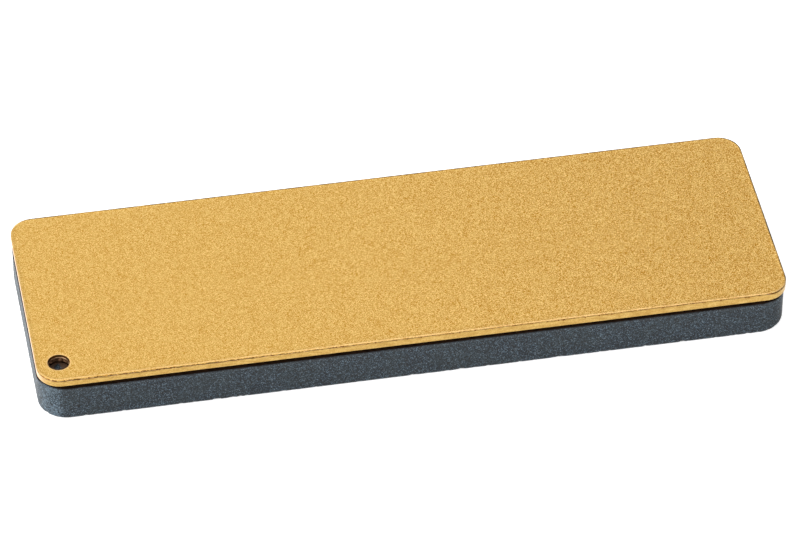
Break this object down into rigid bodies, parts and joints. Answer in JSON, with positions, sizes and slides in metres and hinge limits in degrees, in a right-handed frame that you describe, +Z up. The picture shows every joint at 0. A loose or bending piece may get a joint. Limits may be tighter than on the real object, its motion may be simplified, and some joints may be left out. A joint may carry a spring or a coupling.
{
  "type": "sharpening whetstone",
  "caption": "Flat pocket whetstone: a grey ceramic stone with a gold-coloured diamond plate bonded on top and a small blind hole near one corner.",
  "frame": {"origin": "middle of the stone's underside, the lapped ceramic face", "axes": "+X along the stone's length, +Y across it, +Z up out of the diamond face; the plate's hole is at the -X -Y corner"},
  "size_m": [0.1, 0.032, 0.007],
  "materials": {
    "ceramic": "matte",
    "adhesive": "matte",
    "steel": "satin",
    "gold_plate": "satin",
    "diamond_grit": "matte"
  },
  "bodies": {
    "root": {"ceramic_stone": "ceramic", "bond_film": "adhesive", "steel_plate": "steel", "gold_plating": "gold_plate", "diamond_layer": "diamond_grit"}
  },
  "joints": []
}
